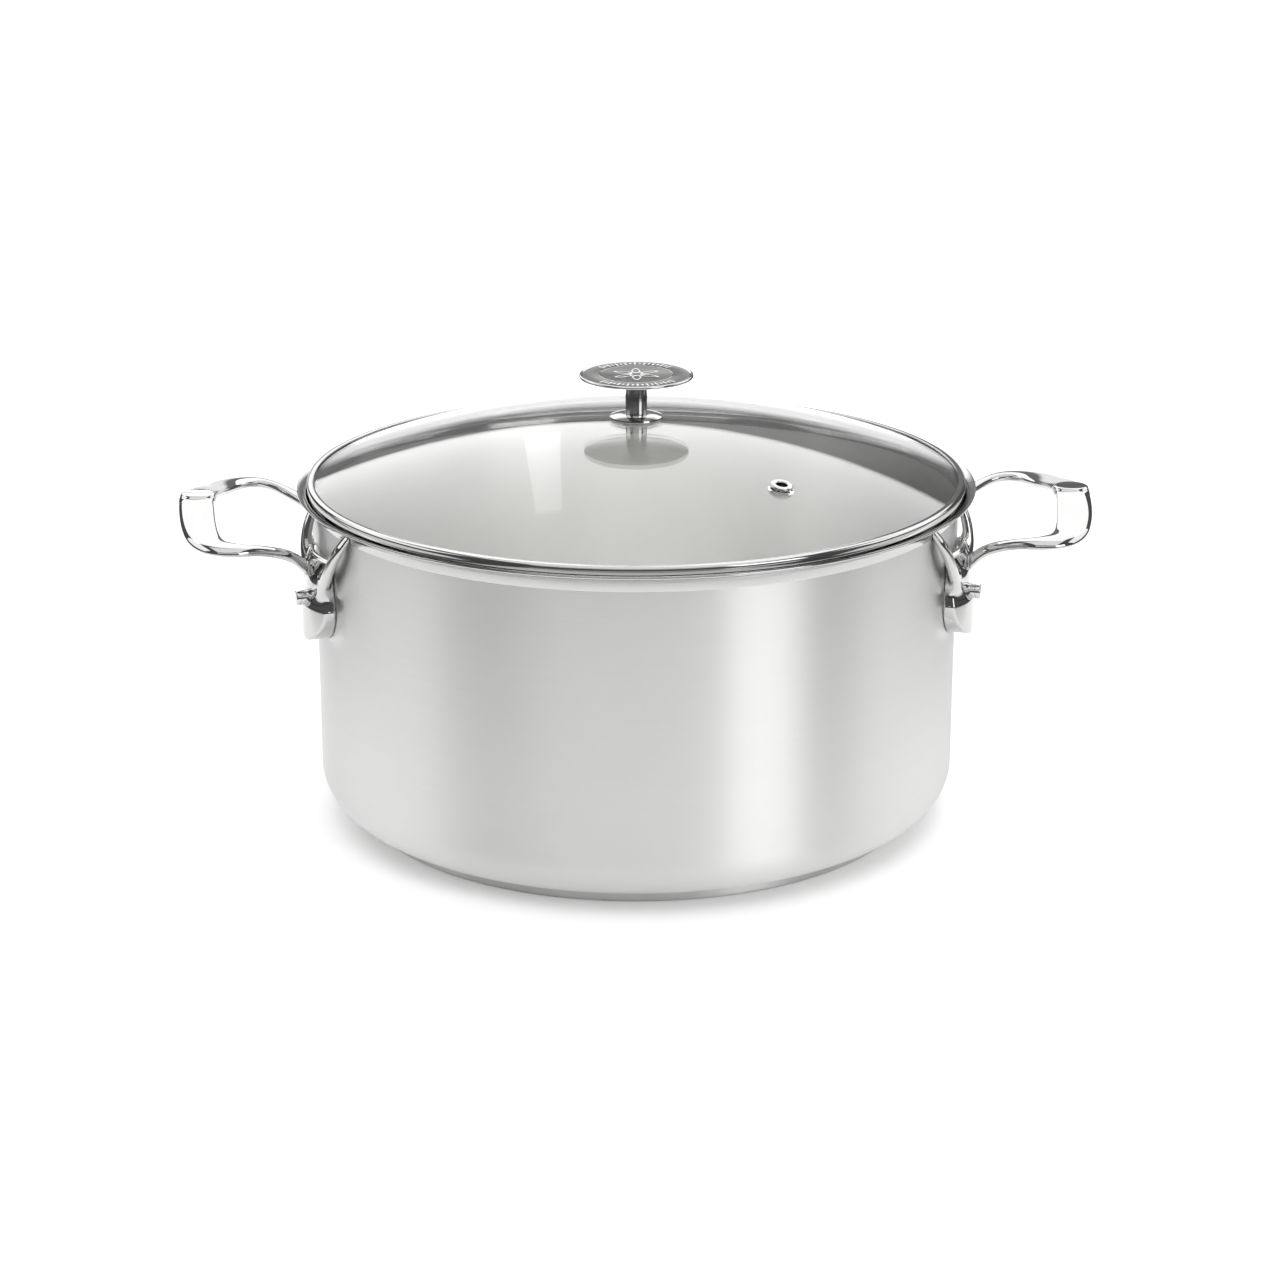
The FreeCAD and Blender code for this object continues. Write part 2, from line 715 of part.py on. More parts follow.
def check_and_write():
    """Stops on any failed object, then writes each sub-part to its own file."""
    doc.recompute()
    for item in doc.Objects:
        if "Invalid" in item.State or "Error" in item.State:
            raise ValueError(f"{item.Name} failed: {item.State}")
    subparts = [o for o in doc.Objects if o.TypeId in ("PartDesign::Body", "Part::Feature")]
    for subpart in subparts:
        shape = subpart.Shape
        if shape.isNull() or not shape.isValid():
            raise ValueError(subpart.Label + " has no valid shape")
    os.makedirs("parts", exist_ok=True)
    for subpart in subparts:
        box = subpart.Shape.BoundBox
        print(f"{subpart.Label:20s} solids {len(subpart.Shape.Solids)} volume {subpart.Shape.Volume:10.1f}"
              f" x {box.XMin:.1f}..{box.XMax:.1f} y {box.YMin:.1f}..{box.YMax:.1f}"
              f" z {box.ZMin:.1f}..{box.ZMax:.1f}")
        subpart.Shape.exportStep(f"parts/{subpart.Label}.step")


make_sheet()
make_pot_body()
make_pot_rim()
make_base()
make_rivets()
make_lid_glass()
make_lid_rim_band()
make_vent()
make_knob()
make_knob_fixing()
make_handles()
check_and_write()
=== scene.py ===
"""Stock pot with a glass lid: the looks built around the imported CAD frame.

Outlines and distances are in millimetres; lamps, the camera and material settings are in metres.
"""

import math

import bmesh
import bpy
import numpy as np
from mathutils import Matrix, Vector


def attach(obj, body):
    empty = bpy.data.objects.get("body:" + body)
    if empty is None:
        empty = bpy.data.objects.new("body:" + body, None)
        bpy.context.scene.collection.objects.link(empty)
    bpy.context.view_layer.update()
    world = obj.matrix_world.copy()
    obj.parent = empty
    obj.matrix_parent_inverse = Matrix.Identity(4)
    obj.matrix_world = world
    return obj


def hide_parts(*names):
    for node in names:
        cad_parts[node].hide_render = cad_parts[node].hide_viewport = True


MM = 0.001
TURN = 320       # steps round a turned piece
VOXEL = 0.55     # grid step of the cast handles, millimetres
VIEW_TURN = Matrix.Rotation(math.radians(-1.8), 4, "Z")     # of the camera and lamps round the pot

# shell, millimetres
RADIUS = 141.0
WALL = 0.8
FLOOR_HEIGHT = 5.7
CORNER = 18.0
FLARE = 8.0
FLARE_START = 140.4
FLARE_MIDDLE = RADIUS + FLARE
FLARE_END = 95.5        # degrees
CAP_RADIUS = 122.7
CAP_TOP = FLOOR_HEIGHT - 0.05
CAP_SKIN = 0.6
CAP_EDGE = 1.5
RIVET_HEIGHT = 109.5

# lid, millimetres and degrees
GLASS_TOP = 176.8
DOME_RADIUS = 404.0
DOME_MIDDLE = GLASS_TOP - DOME_RADIUS
GLASS = 3.5
GLASS_EDGE = 143.1
GLASS_HOLE = 5.2
CUTTER_RADIUS = 4.0
VENT_AZIMUTH = -52.2
VENT_DISTANCE = 94.5
KNOB_FACE = 196.12
KNOB_RIDGE = 196.22
KNOB_TICKS = 60
KNOB_PETALS = 6
PETAL_POINTS = 24
PETAL_MIDDLE = 6.6

# camera, metres and degrees
CAMERA_PLACE = (0.0, -1.3145, 0.5079)
CAMERA_DIP = 18.2433


# ---------------------------------------------------------------- node helpers

def new_material(name, **constants):
    """A material, its tree and its Principled shader, which has these constant inputs."""
    material = bpy.data.materials.new(name)
    material.use_nodes = True
    tree = material.node_tree
    shader = next(n for n in tree.nodes if n.type == "BSDF_PRINCIPLED")
    for socket, value in constants.items():
        shader.inputs[socket.replace("_", " ")].default_value = value
    return material, tree, shader


def add_node(tree, kind, **settings):
    """A new shader node with these attributes."""
    node = tree.nodes.new(kind)
    for name, value in settings.items():
        setattr(node, name, value)
    return node


def math_node(tree, operation, first, second=None):
    """The output of a math node over numbers or sockets."""
    node = add_node(tree, "ShaderNodeMath", operation=operation)
    for socket, value in zip(node.inputs, (first, second)):
        if isinstance(value, (int, float)):
            socket.default_value = value
        elif value is not None:
            tree.links.new(value, socket)
    return node.outputs[0]


def ramp(tree, source, stops):
    """A colour ramp over source; stops are (position, grey or colour)."""
    node = add_node(tree, "ShaderNodeValToRGB")
    elements = node.color_ramp.elements
    while len(elements) < len(stops):
        elements.new(0.5)
    for element, (place, colour) in zip(elements, stops):
        if isinstance(colour, (int, float)):
            colour = (colour, colour, colour)
        element.position = place
        element.color = (*colour, 1.0)
    tree.links.new(source, node.inputs[0])
    return node.outputs[0]


def noise(tree, scale_xyz, detail=3.0, rough=0.5, vector=None):
    """Noise over object space, stretched by a scale for each axis."""
    mapping = add_node(tree, "ShaderNodeMapping")
    mapping.inputs["Scale"].default_value = scale_xyz
    if vector is None:
        vector = add_node(tree, "ShaderNodeTexCoord").outputs["Object"]
    tree.links.new(vector, mapping.inputs["Vector"])
    node = add_node(tree, "ShaderNodeTexNoise")
    node.inputs["Scale"].default_value = 1.0
    node.inputs["Detail"].default_value = detail
    node.inputs["Roughness"].default_value = rough
    tree.links.new(mapping.outputs[0], node.inputs["Vector"])
    return node.outputs[0]


def bump(tree, shader, height, strength, distance):
    """Fine surface relief on a shader; distance is in metres."""
    node = add_node(tree, "ShaderNodeBump")
    node.inputs["Strength"].default_value = strength
    node.inputs["Distance"].default_value = distance
    tree.links.new(height, node.inputs["Height"])
    tree.links.new(node.outputs[0], shader.inputs["Normal"])


def brushed(name, colour, rough, anisotropy, lines=1500.0, relief=0.25, grain=1.0):
    """Steel brushed round the vertical axis, in fine rings over walls and flat faces alike."""
    material, tree, shader = new_material(name, Metallic=1.0, Anisotropic=anisotropy)
    shader.inputs["Anisotropic Rotation"].default_value = 0.25
    tangent = add_node(tree, "ShaderNodeTangent", direction_type="RADIAL", axis="Z")
    tree.links.new(tangent.outputs[0], shader.inputs["Tangent"])
    split = add_node(tree, "ShaderNodeSeparateXYZ")
    tree.links.new(add_node(tree, "ShaderNodeTexCoord").outputs["Object"], split.inputs[0])
    square = math_node(tree, "MULTIPLY", split.outputs[0], split.outputs[0])
    other = math_node(tree, "MULTIPLY", split.outputs[1], split.outputs[1])
    distance = math_node(tree, "SQRT", math_node(tree, "ADD", square, other))
    join = add_node(tree, "ShaderNodeCombineXYZ")
    tree.links.new(split.outputs[0], join.inputs[0])
    tree.links.new(split.outputs[1], join.inputs[1])
    tree.links.new(math_node(tree, "ADD", distance, split.outputs[2]), join.inputs[2])
    fine = noise(tree, (6.0, 6.0, lines), 4.0, 0.6, join.outputs[0])
    broad = noise(tree, (9.0, 9.0, 60.0), 2.0, 0.5, join.outputs[0])
    fine_part = math_node(tree, "MULTIPLY", fine, 0.7)
    broad_part = math_node(tree, "MULTIPLY", broad, 0.3)
    mixed = math_node(tree, "ADD", fine_part, broad_part)
    dark = [c * (1 - 0.035 * grain) for c in colour]
    light = [min(c * (1 + 0.03 * grain), 1.0) for c in colour]
    tint = ramp(tree, mixed, [(0.25, dark), (0.75, light)])
    tree.links.new(tint, shader.inputs["Base Color"])
    shine = ramp(tree, mixed, [(0.3, rough * (1 - 0.12 * grain)), (0.7, rough * (1 + 0.12 * grain))])
    tree.links.new(shine, shader.inputs["Roughness"])
    if relief:
        bump(tree, shader, fine, relief, 0.00004)
    return material


def polished(name, colour, rough, wear=0.15):
    """Mirror-polished steel with faint swirls left by the buffing wheel."""
    material, tree, shader = new_material(name, Metallic=1.0)
    swirl = noise(tree, (260.0, 260.0, 260.0), 5.0, 0.65)
    soft = noise(tree, (45.0, 45.0, 45.0), 2.0, 0.5)
    tint = ramp(tree, soft, [(0.3, [c * 0.985 for c in colour]), (0.7, colour)])
    tree.links.new(tint, shader.inputs["Base Color"])
    shine = ramp(tree, swirl, [(0.35, rough), (0.75, rough * (1.0 + wear * 4.0))])
    tree.links.new(shine, shader.inputs["Roughness"])
    return material


def glass_material(name):
    """Clear tempered glass; lamps shine straight through it."""
    material, tree, shader = new_material(name, Roughness=0.0, IOR=1.5, Transmission_Weight=1.0)
    shader.inputs["Base Color"].default_value = (0.985, 0.988, 0.982, 1.0)
    clear = add_node(tree, "ShaderNodeBsdfTransparent")
    clear.inputs[0].default_value = (0.93, 0.95, 0.94, 1.0)
    mix = add_node(tree, "ShaderNodeMixShader")
    path = add_node(tree, "ShaderNodeLightPath")
    output = next(n for n in tree.nodes if n.type == "OUTPUT_MATERIAL")
    tree.links.new(path.outputs["Is Shadow Ray"], mix.inputs[0])
    tree.links.new(shader.outputs[0], mix.inputs[1])
    tree.links.new(clear.outputs[0], mix.inputs[2])
    tree.links.new(mix.outputs[0], output.inputs["Surface"])
    return material


def rubber_material(name):
    """Matt, slightly grainy grey silicone."""
    material, tree, shader = new_material(name, Roughness=0.55)
    grain = noise(tree, (900.0, 900.0, 900.0), 2.0)
    tree.links.new(ramp(tree, grain, [(0.3, 0.66), (0.7, 0.74)]), shader.inputs["Base Color"])
    bump(tree, shader, grain, 0.2, 0.00003)
    return material


def make_materials():
    """Every material by a short key."""
    return {
        "satin": brushed("satin_steel", (0.92, 0.917, 0.91), 0.44, 0.9, grain=0.6),
        "inside": brushed("inside_steel", (0.76, 0.755, 0.74), 0.34, 0.85, 500.0, 0.0, 0.1),
        "flange": polished("flange_steel", (0.62, 0.62, 0.615), 0.09),
        "base": brushed("base_steel", (0.90, 0.895, 0.885), 0.44, 0.9, grain=0.6),
        "core": polished("core_aluminium", (0.80, 0.80, 0.81), 0.45),
        "casting": polished("polished_casting", (0.62, 0.62, 0.615), 0.02, 0.2),
        "rivet": polished("rivet_steel", (0.70, 0.70, 0.70), 0.10),
        "band": polished("band_steel", (0.60, 0.60, 0.595), 0.07),
        "bright": polished("polished_steel", (0.64, 0.64, 0.635), 0.08),
        "knob": brushed("knob_steel", (0.17, 0.17, 0.167), 0.30, 0.0, 2600.0, 0.02),
        "relief": polished("knob_relief_steel", (0.95, 0.95, 0.94), 0.28),
        "screw": polished("screw_steel", (0.68, 0.68, 0.68), 0.18),
        "silicone": rubber_material("silicone"),
        "glass": glass_material("clear_glass"),
    }


# ---------------------------------------------------------------- mesh helpers

def arc(cx, cy, radius, start, end, steps):
    """Points of an arc, angles in degrees."""
    angles = np.radians(np.linspace(start, end, steps + 1))
    return [(cx + radius * math.cos(a), cy + radius * math.sin(a)) for a in angles]


def eased(corners, steps=5):
    """A closed outline of (x, y, radius) corners with each corner rounded."""
    points = []
    count = len(corners)
    for place, (x, y, radius) in enumerate(corners):
        if radius == 0:
            points.append((x, y))
            continue
        here = np.array((x, y), float)
        back = np.array(corners[place - 1][:2], float) - here
        ahead = np.array(corners[(place + 1) % count][:2], float) - here
        back /= np.linalg.norm(back)
        ahead /= np.linalg.norm(ahead)
        half = math.acos(float(np.clip(back @ ahead, -1, 1))) / 2
        reach = radius / math.tan(half)
        middle = here + (back + ahead) / np.linalg.norm(back + ahead) * (radius / math.sin(half))
        first = here + back * reach - middle
        last = here + ahead * reach - middle
        begin = math.atan2(first[1], first[0])
        sweep = (math.atan2(last[1], last[0]) - begin + math.pi) % (2 * math.pi) - math.pi
        for step in range(steps + 1):
            angle = begin + sweep * step / steps
            points.append((middle[0] + radius * math.cos(angle), middle[1] + radius * math.sin(angle)))
    return points


def make_object(name, verts, faces, materials, smooth_angle=35.0):
    """A smooth-shaded mesh object from millimetre vertices, with hard edges above an angle."""
    mesh = bpy.data.meshes.new(name)
    mesh.from_pydata([tuple(c * MM for c in v) for v in verts], [], faces)
    mesh.validate()
    bm = bmesh.new()
    bm.from_mesh(mesh)
    bmesh.ops.remove_doubles(bm, verts=bm.verts, dist=1e-7)
    bmesh.ops.recalc_face_normals(bm, faces=bm.faces)
    bm.to_mesh(mesh)
    bm.free()
    mesh.shade_smooth()
    mesh.set_sharp_from_angle(angle=math.radians(smooth_angle))
    for material in materials:
        mesh.materials.append(material)
    piece = bpy.data.objects.new(name, mesh)
    bpy.context.scene.collection.objects.link(piece)
    return piece


def lathe(name, outline, materials, turn=TURN, pick=None):
    """Turns a closed (radius, height) outline about Z; pick turns those two into a material slot."""
    verts = []
    rings = []
    for radius, height in outline:
        if radius < 1e-6:
            rings.append([len(verts)] * turn)
            verts.append((0.0, 0.0, height))
            continue
        rings.append(list(range(len(verts), len(verts) + turn)))
        for step in range(turn):
            angle = 2 * math.pi * step / turn
            verts.append((radius * math.cos(angle), radius * math.sin(angle), height))
    faces = []
    for place in range(len(outline)):
        here, ahead = rings[place], rings[(place + 1) % len(outline)]
        if here[0] == here[-1] and ahead[0] == ahead[-1]:
            continue
        for step in range(turn):
            after = (step + 1) % turn
            corners = [here[step], here[after], ahead[after], ahead[step]]
            faces.append([c for i, c in enumerate(corners) if c != corners[i - 1]])
    piece = make_object(name, verts, faces, materials)
    if pick:
        for polygon in piece.data.polygons:
            centre = polygon.center
            polygon.material_index = pick(math.hypot(centre.x, centre.y) / MM, centre.z / MM)
    return piece


def place_piece(piece, point, normal):
    """Moves a turned piece so that its axis runs along normal and its origin lies at point."""
    turn = Vector((0, 0, 1)).rotation_difference(Vector(normal)).to_matrix().to_4x4()
    piece.data.transform(Matrix.Translation(Vector(point) * MM) @ turn)


# ---------------------------------------------------------------- pot

def make_pot(mats):
    """The drawn shell with its rolled flare, one sheet thick all over."""
    inner_radius = RADIUS - WALL
    inner_floor = FLOOR_HEIGHT + WALL
    bend_radius = RADIUS - CORNER
    bend_height = FLOOR_HEIGHT + CORNER
    outer = [(0, FLOOR_HEIGHT), (60, FLOOR_HEIGHT)]
    outer += arc(bend_radius, bend_height, CORNER, -90, 0, 16)
    outer += [(RADIUS, z) for z in (60, 100, 130)]
    outer += arc(FLARE_MIDDLE, FLARE_START, FLARE, 180, FLARE_END, 18)
    inner = arc(FLARE_MIDDLE, FLARE_START, FLARE + WALL, FLARE_END, 180, 18)
    inner += [(inner_radius, z) for z in (130, 100, 60)]
    inner += arc(bend_radius, bend_height, CORNER - WALL, 0, -90, 16)
    inner += [(60, inner_floor), (0, inner_floor)]
    lip = [(148.27, 148.55), (148.28, 148.8), (148.25, 149.05)]

    def pick(r, z):
        """0 the outer wall, 1 the inside, 2 the polished flare."""
        if z > FLARE_START + 0.5:
            return 2
        if z > bend_height:
            return 1 if r < RADIUS - WALL / 2 else 0
        if z <= FLOOR_HEIGHT + WALL / 2:
            return 0
        from_bend = math.hypot(r - bend_radius, z - bend_height)
        return 0 if r >= bend_radius and from_bend >= CORNER - WALL / 2 else 1

    looks = [mats["satin"], mats["inside"], mats["flange"]]
    shell = lathe("pot_shell", outer + lip + inner, looks, pick=pick)
    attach(shell, "pot")
    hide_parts("pot_body", "pot_rim")


def make_base(mats):
    """The cup under the shell, hollow for the aluminium core."""
    inside = CAP_RADIUS - CAP_SKIN
    outline = eased([
        (0, 0, 0), (CAP_RADIUS, 0, CAP_EDGE), (CAP_RADIUS, CAP_TOP, 0.5), (inside, CAP_TOP, 0),
        (inside, CAP_EDGE, 0), (CAP_RADIUS - CAP_EDGE, CAP_SKIN, 0), (0, CAP_SKIN, 0),
    ], 6)
    cap = lathe("base_disc", outline, [mats["base"]])
    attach(cap, "pot")
    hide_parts("base_cap")


def make_rivets(mats):
    """Two rivets for each handle: a low head inside the pot and a grooved button on the foot."""
    head = [(0, 138.4)] + arc(0, 162.3, 23.9, -88, -74.2, 6) + [(6.5, 140.0)]
    shank = [(3.0, 140.04), (3.0, 148.0), (3.3, 148.1), (3.3, 151.0)]
    button = [(3.1, 151.2), (3.1, 151.35), (3.3, 151.55)] + arc(2.55, 152.9, 0.75, 0, 90, 8)
    button += [(0, 153.65)]
    for side, across in (("left", -1), ("right", 1)):
        for place, along in (("front", -1), ("rear", 1)):
            outward = (across * math.cos(FOOT_TURN), along * math.sin(FOOT_TURN), 0.0)
            rivet = lathe(f"rivet_{side}_{place}_turned", head + shank + button, [mats["rivet"]], 64)
            place_piece(rivet, (0, 0, RIVET_HEIGHT), outward)
            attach(rivet, "pot")
            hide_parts(f"rivet_{side}_{place}")


# ---------------------------------------------------------------- handle casting

# outer and inner upper edge of the strap, from the middle of the grip into the rear foot
STRAP = [
    ((200.6, 0.0, 142.4), (184.6, 0.0, 142.8)),
    ((200.0, 9.0, 142.0), (183.9, 8.0, 142.2)),
    ((198.2, 23.0, 140.6), (182.3, 20.0, 139.9)),
    ((195.4, 36.5, 138.5), (180.3, 31.5, 137.6)),
    ((190.8, 48.5, 136.6), (178.0, 40.5, 136.4)),
    ((183.0, 57.0, 135.4), (174.8, 46.5, 136.0)),
    ((173.0, 59.4, 134.7), (169.0, 49.0, 135.7)),
    ((164.0, 56.0, 133.5), (161.5, 46.6, 134.4)),
    ((155.0, 51.0, 131.1), (154.5, 41.6, 131.9)),
    ((147.5, 48.0, 127.8), (147.5, 38.0, 128.5)),
    ((143.0, 47.0, 124.2), (143.0, 37.0, 124.7)),
]
# degrees from the foot's middle, distance from the pot's axis, height, half width, half thickness
INNER_STRUT = [
    (3.6, 143.8, 110.0, 2.8, 2.4),
    (4.8, 145.0, 118.0, 2.8, 2.6),
    (5.7, 145.8, 125.5, 2.7, 2.6),
    (6.4, 145.4, 132.0, 2.5, 2.3),
    (6.8, 144.0, 138.0, 2.5, 2.1),
    (7.0, 142.5, 142.2, 2.6, 1.8),
]
OUTER_STRUT = [
    (3.4, 143.8, 110.0, 3.6, 2.4),
    (5.6, 144.8, 118.0, 3.8, 2.4),
    (8.2, 145.2, 125.5, 3.6, 2.3),
    (10.6, 144.9, 133.0, 3.4, 2.1),
    (12.4, 143.6, 139.2, 3.2, 1.9),
    (13.0, 142.2, 142.2, 3.0, 1.6),
]
FOOT_TURN = math.radians(16.5)
STRUT_LOW = 104.0
STRUT_HIGH = 146.0
STRAP_BACK = -6.0       # how far along the strap points are still looked for past the grip's middle
STRAP_CROWN = 1.15
STRAP_DEPTH = 2.9
FOOT_WIDTH = 17.5       # half of it, at the tongue
FOOT_ROUND = 107.0      # height where the tongue's round end begins
FOOT_TOP = 129.0
FOOT_REACH = 120.9      # where the middle of the foot's round front lies
FOOT_FRONT = 29.5
PAD_MIDDLE = 191.8
PAD_TOP = 144.5
POT_GAP = 0.12


class Spline:
    """A natural cubic spline through rows of values at given knots."""

    def __init__(self, knots, values):
        self.knots = np.asarray(knots, float)
        self.values = np.asarray(values, float)
        count = len(self.knots)
        gap = np.diff(self.knots)
        system = np.zeros((count, count))
        target = np.zeros_like(self.values)
        system[0, 0] = system[-1, -1] = 1.0
        rise = np.diff(self.values, axis=0) / gap[:, None]
        for i in range(1, count - 1):
            system[i, i - 1:i + 2] = gap[i - 1], 2 * (gap[i - 1] + gap[i]), gap[i]
            target[i] = 6 * (rise[i] - rise[i - 1])
        self.bend = np.linalg.solve(system, target)

    def __call__(self, at):
        """The rows at any places along the knots."""
        span = np.clip(np.searchsorted(self.knots, at) - 1, 0, len(self.knots) - 2)
        gap = self.knots[span + 1] - self.knots[span]
        b = ((at - self.knots[span]) / gap)[..., None]
        a = 1 - b
        low, high = self.values[span], self.values[span + 1]
        curve = (a**3 - a) * self.bend[span] + (b**3 - b) * self.bend[span + 1]
        return a * low + b * high + curve * (gap**2)[..., None] / 6


def smooth_max(a, b, k):
    """The greater of two distances with the crease between them rounded over k."""
    h = np.maximum(k - np.abs(a - b), 0.0) / k
    return np.maximum(a, b) + h * h * k / 4


def smooth_min(a, b, k):
    """The smaller of two distances with the crease between them filled over k."""
    return -smooth_max(-a, -b, k)


def oval(u, v, across, along):
    """Distance to an ellipse, close to true near its edge."""
    near = np.sqrt((u / across) ** 2 + (v / along) ** 2) + 1e-9
    slope = np.sqrt((u / across**2) ** 2 + (v / along**2) ** 2) + 1e-9
    return near * (near - 1) / slope


def smooth_step(value, low, high):
    """Nought below low, one above high and an easy rise between."""
    t = np.clip((value - low) / (high - low), 0, 1)
    return t * t * (3 - 2 * t)


def strap_spline():
    """Both upper edges along the strap, with distance from the middle of the grip as the knots."""
    mirrored = [tuple((x, -y, z) for x, y, z in pair) for pair in STRAP[:0:-1]]
    pairs = np.array(mirrored + STRAP, float)
    middle = pairs.mean(axis=1)
    lengths = np.concatenate([[0], np.cumsum(np.linalg.norm(np.diff(middle, axis=0), axis=1))])
    lengths -= lengths[len(STRAP) - 1]
    return Spline(lengths, pairs.reshape(len(pairs), 6))


class Handle:
    """The right-hand casting as a distance field over millimetre points."""

    def __init__(self):
        self.strap = strap_spline()
        self.samples = np.linspace(STRAP_BACK, self.strap.knots[-1], 260)
        self.spots = self.strap_middle(self.samples)
        struts = [np.array(rows) for rows in (INNER_STRUT, OUTER_STRUT)]
        self.inner, self.outer = [Spline(rows[:, 2], rows[:, [0, 1, 3, 4]]) for rows in struts]

    def strap_middle(self, along):
        """The strap's middle in plan."""
        rows = self.strap(along)
        return (rows[:, :2] + rows[:, 3:5]) / 2

    def locate(self, x, y):
        """How far along the strap each point in plan lies."""
        flat = np.stack([x, y], -1)
        along = np.empty(len(flat))
        block = 20000
        for start in range(0, len(flat), block):
            gaps = ((flat[start:start + block, None, :] - self.spots[None]) ** 2).sum(-1)
            along[start:start + block] = self.samples[gaps.argmin(1)]
        step = 0.05
        for _ in range(4):
            low, here, high = [self.strap_middle(along + shift) for shift in (-step, 0.0, step)]
            slope = (high - low) / (2 * step)
            curve = (high - 2 * here + low) / step**2
            miss = flat - here
            fall = (slope**2).sum(1) - (miss * curve).sum(1)
            along = along + np.clip((miss * slope).sum(1) / np.maximum(fall, 0.3), -1.0, 1.0)
            along = np.clip(along, STRAP_BACK, self.strap.knots[-1])
        return along

    def strap_facts(self, x, y):
        """Where points in plan lie on the strap: aside, its half width, top, slope, and past its end."""
        along = self.locate(x, y)
        here = self.strap(along)
        ahead = self.strap(along + 0.3)
        middle = (here[:, :3] + here[:, 3:]) / 2
        run = (ahead[:, :3] + ahead[:, 3:]) / 2 - middle
        flat_run = np.linalg.norm(run[:, :2], axis=1)
        cosine = flat_run / np.linalg.norm(run, axis=1)
        across = here[:, :3] - here[:, 3:]
        side = np.stack([run[:, 1], -run[:, 0]], -1) / flat_run[:, None]
        side *= np.sign((side * across[:, :2]).sum(1))[:, None]
        half = np.abs((side * across[:, :2]).sum(1)) / 2
        offset = ((np.stack([x, y], -1) - middle[:, :2]) * side).sum(1)
        tilt = across[:, 2] / (2 * half)
        over = ((np.stack([x, y], -1) - middle[:, :2]) * run[:, :2]).sum(1) / flat_run
        return offset, half, middle[:, 2] + tilt * offset, cosine, over

    def strap_field(self, facts, z):
        """Distance to the strap: a crowned top, a flat underside and rounded edges."""
        offset, half, top, cosine, over = facts
        ratio = np.clip(offset / half, -1.2, 1.2)
        rise = (z - top) * cosine
        crown = STRAP_CROWN * (1 - np.abs(ratio) ** 2.4)
        upper = rise - crown
        lower = -STRAP_DEPTH - rise
        edge = np.abs(offset) - half
        round_off = 1.7 + 2.2 * smooth_step(offset, 0.0, 6.0)
        solid = smooth_max(smooth_max(upper, edge, round_off), smooth_max(lower, edge, 2.6), 0.6)
        return smooth_max(solid, np.abs(over) - 0.5, 0.5)

    def strut_field(self, spline, out, side, z):
        """One strut of the fork, leaning towards positive side."""
        step = 0.2
        row = spline(np.clip(z, STRUT_LOW, STRUT_HIGH))
        ahead = spline(np.clip(z + step, STRUT_LOW, STRUT_HIGH + step))
        angle = np.radians(row[..., 0])
        after = np.radians(ahead[..., 0])
        lean_side = (ahead[..., 1] * np.sin(after) - row[..., 1] * np.sin(angle)) / step
        lean_out = (ahead[..., 1] * np.cos(after) - row[..., 1] * np.cos(angle)) / step
        u = (side - row[..., 1] * np.sin(angle)) / np.sqrt(1 + lean_side**2)
        v = (out - row[..., 1] * np.cos(angle)) / np.sqrt(1 + lean_out**2)
        return smooth_max(oval(u, v, row[..., 2], row[..., 3]), 111.0 - z, 3.0)

    def foot_field(self, x, y, z):
        """The foot whose middle lies at +FOOT_TURN, from the tongue up to the forked struts."""
        c, s = math.cos(FOOT_TURN), math.sin(FOOT_TURN)
        out = x * c + y * s
        side = y * c - x * s
        narrowing = 2.6 * smooth_step(z, 104.0, 121.0)
        flank = np.abs(side) - (FOOT_WIDTH - narrowing)
        tip = oval(side, np.minimum(z - FOOT_ROUND, 0.0), FOOT_WIDTH, 16.0)
        outline = np.where(z < FOOT_ROUND, tip, flank)
        set_back = 2.05 * np.clip((z - 106.8) / 6.0, 0, 1)
        lean_back = 0.25 * np.maximum(z - 118.0, 0.0)
        front = np.hypot(out - (FOOT_REACH - set_back - lean_back), side) - FOOT_FRONT
        tab = smooth_max(smooth_max(outline, front, 0.7), z - FOOT_TOP, 2.0)
        inner = self.strut_field(self.inner, out, -side, z)
        outer = self.strut_field(self.outer, out, side, z)
        return smooth_min(smooth_min(tab, inner, 3.5), outer, 3.5)

    def field(self, points, facts=None):
        """Distance to the whole casting, kept clear of the pot and mirrored about y = 0."""
        x, y, z = points[..., 0], np.abs(points[..., 1]), points[..., 2]
        if facts is None:
            facts = self.strap_facts(x, y)
        body = self.strap_field(facts, z)
        pad = smooth_max(oval(x - PAD_MIDDLE, y, 7.6, 6.6), z - PAD_TOP, 0.9)
        pad = smooth_max(pad, 141.0 - z, 0.5)
        body = smooth_min(body, pad, 2.2)
        body = smooth_min(body, self.foot_field(x, y, z), 3.0)
        radius = np.hypot(x, y)
        under_rim = np.hypot(radius - FLARE_MIDDLE, z - FLARE_START) - FLARE
        pot = np.where((z < FLARE_START) | (radius > FLARE_MIDDLE), RADIUS - radius, under_rim)
        return np.maximum(body, pot + POT_GAP)


